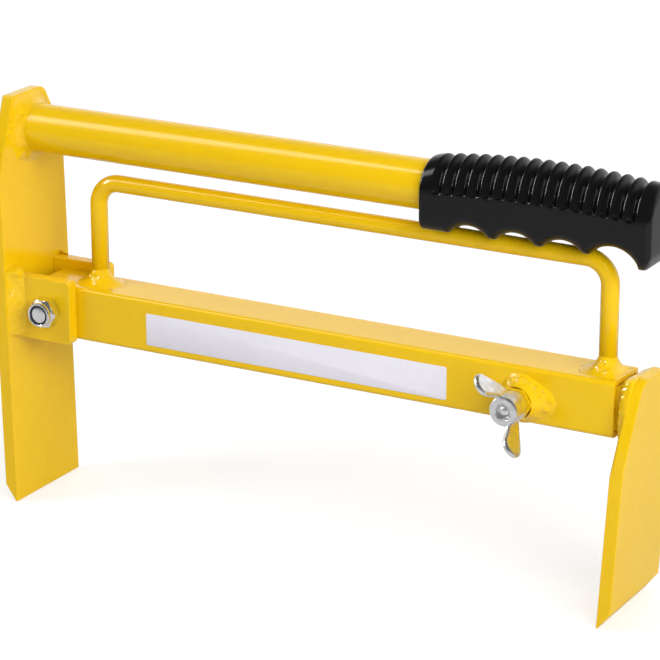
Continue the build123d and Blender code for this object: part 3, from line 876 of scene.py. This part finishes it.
# Rings across a leaf: their share of the outline, and their level in millimetres
leaf_rings = ((0.78, 1.3), (0.95, 0.85), (1.0, 0.4), (1.0, -0.4), (0.95, -0.85), (0.78, -1.3))
for way in (0.0, math.pi):
    along = Vector((cos(wing_angle + way), 0, sin(wing_angle + way)))
    side = Vector((-along.z, 0, along.x))
    rows = []
    for share, level in leaf_rings:
        row = []
        for r, out in outline:
            r_at = middle_r + (r - middle_r) * share
            out_at = middle_out + (out - middle_out) * share
            row.append(Vector((lock_x, wing_back - out_at * mm, lock_z)) + along * r_at * mm
                       + side * (level - leaf_offset) * mm)
        rows.append(row)
    leaf_points, leaf_faces = join_rows(rows)
    first = len(points)
    points += leaf_points
    faces += [tuple(first + k for k in face) for face in leaf_faces]
wing = make_piece("wing_head_cast", points, faces, "wing_head", cast_zinc, ["wing_head"])
melt = wing.modifiers.new("melt together", "REMESH")
melt.mode = "VOXEL"
melt.voxel_size = 0.3 * mm
melt.use_smooth_shade = True
ease = wing.modifiers.new("ease", "SMOOTH")
ease.factor = 0.5
ease.iterations = 4

# %% [markdown]
# ## The pivot bolt
# The bolt comes through from the back with its head there. The locking nut at the front has a collar that is rolled
# inward over a nylon ring, and the end of the bolt sits a little below the rim. Both are turned: each step of the
# profile is a circle, or a hexagon that a cone has cut at its corners.

# %% Turned pieces
turned_sides = 96
sixth, twelfth = radians(60), radians(30)


def turned(name, profile, centre, across_flats, hides, loop):
    """Makes a turned zinc piece on an axis along Y.

    A step of the profile is its radius and its place along Y in millimetres, and whether it is cut to a hexagon.
    """
    rows = []
    for radius, y, hexagon in profile:
        row = []
        for k in range(turned_sides):
            turn = 2 * math.pi * k / turned_sides
            flat = across_flats / 2 / cos(turn % sixth - twelfth)
            r = min(radius * mm, flat) if hexagon else radius * mm
            row.append(Vector((centre[0] + r * cos(turn), y * mm, centre[1] + r * sin(turn))))
        rows.append(row)
    points, faces = join_rows(rows, loop=loop)
    piece = make_piece(name, points, faces, "lever", zinc, hides)
    piece.data.set_sharp_from_angle(angle=radians(28.0))
    return piece


nut_lo, nut_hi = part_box("pivot_nut")
bolt_lo, bolt_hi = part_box("pivot_bolt")
pivot_centre = ((bolt_lo.x + bolt_hi.x) / 2, (bolt_lo.z + bolt_hi.z) / 2)
flats = nut_hi.z - nut_lo.z
print("pivot nut", round(flats / mm, 1), "mm across flats")

# %% Locking nut
near, rim = nut_hi.y / mm, nut_lo.y / mm
collar = near - 5.9
nut_profile = [
    (4.3, near, False), (6.2, near, False), (6.9, near - 0.1, True), (7.4, near - 0.6, True),
    (7.4, collar + 1.7, True), (7.15, collar + 1.1, True), (6.8, collar + 0.55, True),
    (6.35, collar + 0.12, False), (5.95, collar, False), (5.8, collar - 0.1, False),
    (5.8, rim + 0.75, False), (5.72, rim + 0.4, False), (5.5, rim + 0.12, False), (5.2, rim, False),
    (4.95, rim + 0.02, False), (4.75, rim + 0.1, False), (4.68, rim + 0.18, False),
    (5.1, rim + 0.19, False), (5.1, collar + 0.1, False), (4.3, collar + 0.1, False)]
turned("pivot_nut_rolled", nut_profile, pivot_centre, flats, ["pivot_nut"], loop=True)

# %% Bolt
tip, head, back_face = rim + 0.3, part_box("rear_ear")[1].y / mm, bolt_hi.y / mm
bolt_profile = [
    (0.1, tip, False), (3.3, tip, False), (3.65, tip + 0.14, False), (3.99, tip + 0.55, False),
    (3.99, head, False), (6.1, head, False), (6.9, head + 0.1, True), (7.6, head + 0.2, True),
    (7.6, back_face - 0.85, True), (7.0, back_face - 0.4, True), (6.2, back_face, False), (0.1, back_face, False)]
turned("pivot_bolt_turned", bolt_profile, pivot_centre, flats, ["pivot_bolt"], loop=False)

# %% [markdown]
# ## Pieces kept from the CAD model
# The nylon ring and the handle's tube are plain turned forms, and the CAD model already has them to size. They only
# need a finish.

# %% Kept CAD pieces
# The nylon finish is dark partly as the ring's own colour and partly as painted shade of the gap under the nut's lip.
for node, finish in (("nut_insert", nylon), ("handle_tube", yellow)):
    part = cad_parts[node]
    part.data.materials.clear()
    part.data.materials.append(finish)
    print(node, "keeps its CAD form in", finish.name)

# %% [markdown]
# ## The label
# The label is a plain strip of white vinyl on the front of the beam. Its corners are cut round so that they do not
# lift. It is a thin solid and not a patch of colour in the paint, so its edge catches light.

# %% Label
label_left, label_right = -83.2 * mm, 69.6 * mm
label_low, label_high = 84.7 * mm, 99.8 * mm
label_corner, label_thick, label_gap = 0.8 * mm, 0.1 * mm, 0.01 * mm
edge_inset, label_half, corner_steps = 0.06 * mm, 7.5 * mm, 6
middle_z = (label_low + label_high) / 2
outline = []
for x, z, begin in ((label_right, label_high, 0), (label_left, label_high, 90),
                    (label_left, label_low, 180), (label_right, label_low, 270)):
    in_x = x - label_corner if x > 0 else x + label_corner
    in_z = z - label_corner if z > middle_z else z + label_corner
    for k in range(corner_steps + 1):
        turn = radians(begin + 90.0 / corner_steps * k)
        outline.append((in_x + label_corner * cos(turn), in_z + label_corner * sin(turn)))
rows = []
for inset, out in ((0.0, 0.0), (0.0, 0.7), (edge_inset, 1.0)):
    row = []
    for x, z in outline:
        z_in = middle_z + (z - middle_z) * (1 - inset / label_half)
        row.append(Vector((x - math.copysign(inset, x), beam_lo.y - label_gap - label_thick * out, z_in)))
    rows.append(row)
points, faces = join_rows(rows)
make_piece("blank_label", points, faces, "beam", vinyl)

# %% [markdown]
# ## Stage
# A plain pale floor takes the shadow. It is lifted to white only where the camera sees it, and a little where gloss
# or glass does, so no extra light falls on the clamp.

# %% Floor
floor_mesh = bpy.data.meshes.new("studio_floor")
reach = 6.0
floor_corners = [(-reach, -reach, 0), (reach, -reach, 0), (reach, reach, 0), (-reach, reach, 0)]
floor_mesh.from_pydata(floor_corners, [], [(0, 1, 2, 3)])
floor_piece = bpy.data.objects.new("studio_floor", floor_mesh)
floor_piece.location.z = -0.2 * mm
scene.collection.objects.link(floor_piece)
print("floor", 2 * reach, "m wide")

# %% Floor finish
floor_finish, tree, shader = new_finish("studio floor")
camera_lift, gloss_lift = 0.53, 0.08
tone = use_group(tree, handling, {"Scale": 3.0})
pale = add_node(tree, "ShaderNodeMix", {"A": (0.52, 0.52, 0.52, 1.0), "B": (0.50, 0.50, 0.50, 1.0)}, data_type="RGBA")
wire(tree, (tone, "Mask", pale, "Factor"), (pale, "Result", shader, "Base Color"))
set_inputs(shader, {"Roughness": 0.9, "Specular IOR Level": 0.1, "Emission Color": (1.0, 1.0, 1.0, 1.0)})
seen = add_node(tree, "ShaderNodeLightPath")
mirrored = add_node(tree, "ShaderNodeMath", {1: gloss_lift}, operation="MULTIPLY")
lift = add_node(tree, "ShaderNodeMath", {1: camera_lift}, operation="MULTIPLY_ADD")
either = add_node(tree, "ShaderNodeMath", operation="MAXIMUM")
wire(tree, (seen, "Is Glossy Ray", either, 0), (seen, "Is Transmission Ray", either, 1), (either, 0, mirrored, 0),
     (seen, "Is Camera Ray", lift, 0), (mirrored, 0, lift, 2), (lift, 0, shader, "Emission Strength"))
floor_mesh.materials.append(floor_finish)
print("floor lifted by", camera_lift, "to the camera and", gloss_lift, "in gloss")

# %% [markdown]
# The room is dim all round and white low at the back, which is what the top of the beam mirrors. Two ramps on the
# direction of view, one to the back and one to the height, do that without a picture of a studio.

# %% Room
room = bpy.data.worlds.new("studio room")
scene.world = room
room.use_nodes = True
tree = room.node_tree
back = tree.nodes["Background"]
way = add_node(tree, "ShaderNodeTexCoord")
split = add_node(tree, "ShaderNodeSeparateXYZ")
behind = add_node(tree, "ShaderNodeMapRange", {"From Min": 0.1, "From Max": 0.75}, interpolation_type="SMOOTHSTEP")
low = add_node(tree, "ShaderNodeMapRange", {"From Min": 0.35, "From Max": 0.8, "To Min": 1.0, "To Max": 0.2})
level = add_node(tree, "ShaderNodeMath", operation="MULTIPLY")
dim, white = 0.14, 1.05
grey = add_node(tree, "ShaderNodeMix", {"A": (dim, dim, dim, 1.0), "B": (white, white, white, 1.0)}, data_type="RGBA")
wire(tree, (way, "Generated", split, "Vector"), (split, "Y", behind, "Value"), (split, "Z", low, "Value"),
     (behind, "Result", level, 0), (low, "Result", level, 1), (level, 0, grey, "Factor"),
     (grey, "Result", back, "Color"))
print("room from", dim, "to", white)

# %% [markdown]
# ## Lamps
# A tall panel at the left is the main light, and its bright strip is what gloss mirrors: one line on each side of a
# rib, and a glint on every drop of a weld. Four wide panels fill in from the right, from above and from the back.
# They are kept out of the gloss, as a photographer flags a fill light, so the ribs stay black on their right side.

# %% Lamps
lamp_target = Vector((0.0, 0.0, 0.1))


def soft_lamp(name, direction, distance, wide, tall, power, mirrored_in_gloss=True, lights_paint=True, up=(0, 0, 1)):
    """Hangs a soft panel in a direction from the clamp, facing the clamp, with its tall side along up."""
    lamp = bpy.data.lights.new(name, "AREA")
    lamp.shape = "RECTANGLE"
    lamp.size = wide
    lamp.size_y = tall
    lamp.energy = power
    holder = bpy.data.objects.new(name, lamp)
    way_to = Vector(direction).normalized()
    holder.location = lamp_target + way_to * distance
    tall_axis = (Vector(up) - way_to * way_to.dot(Vector(up))).normalized()
    holder.rotation_euler = Matrix((tall_axis.cross(way_to), tall_axis, way_to)).transposed().to_euler()
    holder.visible_glossy = mirrored_in_gloss
    holder.visible_diffuse = lights_paint
    scene.collection.objects.link(holder)
    print(name, "at", [round(c, 2) for c in holder.location])


soft_lamp("left_panel", (-0.618, -0.426, 0.661), distance=1.62, wide=0.4, tall=1.24, power=8.7)
soft_lamp("left_strip", (-0.76, -0.34, 0.46), distance=1.5, wide=0.10, tall=1.0, power=20.0,
          lights_paint=False, up=(0, 0.76, 0.65))
soft_lamp("front_right_panel", (0.66, -0.64, 0.40), distance=1.6, wide=1.1, tall=1.1, power=20.0,
          mirrored_in_gloss=False)
soft_lamp("right_panel", (0.85, -0.20, 0.48), distance=1.6, wide=0.9, tall=0.9, power=8.6, mirrored_in_gloss=False)
soft_lamp("top_panel", (0.0, 0.0, 1.0), distance=1.6, wide=1.0, tall=1.0, power=3.0, mirrored_in_gloss=False)
soft_lamp("back_panel", (-0.2, 0.90, 0.38), distance=1.8, wide=1.2, tall=1.0, power=12.0, mirrored_in_gloss=False)

# %% [markdown]
# ## Camera
# The camera looks down a little from the right with a long lens, so the beam runs away only slightly.

# %% Camera
lens = bpy.data.cameras.new("camera")
lens.lens = 159.6
lens.sensor_width = 36.0
lens.clip_end = 50.0
camera = bpy.data.objects.new("camera", lens)
look_at = Vector((5.335, 0.0, 102.57)) * mm
turn, lift_angle, distance = radians(29.14), radians(18.42), 1.2953
level_reach = cos(lift_angle)
view_from = Vector((sin(turn) * level_reach, -cos(turn) * level_reach, sin(lift_angle)))
camera.location = look_at + distance * view_from
camera.rotation_euler = (radians(90.0) - lift_angle, 0.0, turn)
scene.collection.objects.link(camera)
scene.camera = camera
scene.view_settings.view_transform = "Standard"
print("camera at", [round(c, 3) for c in camera.location])
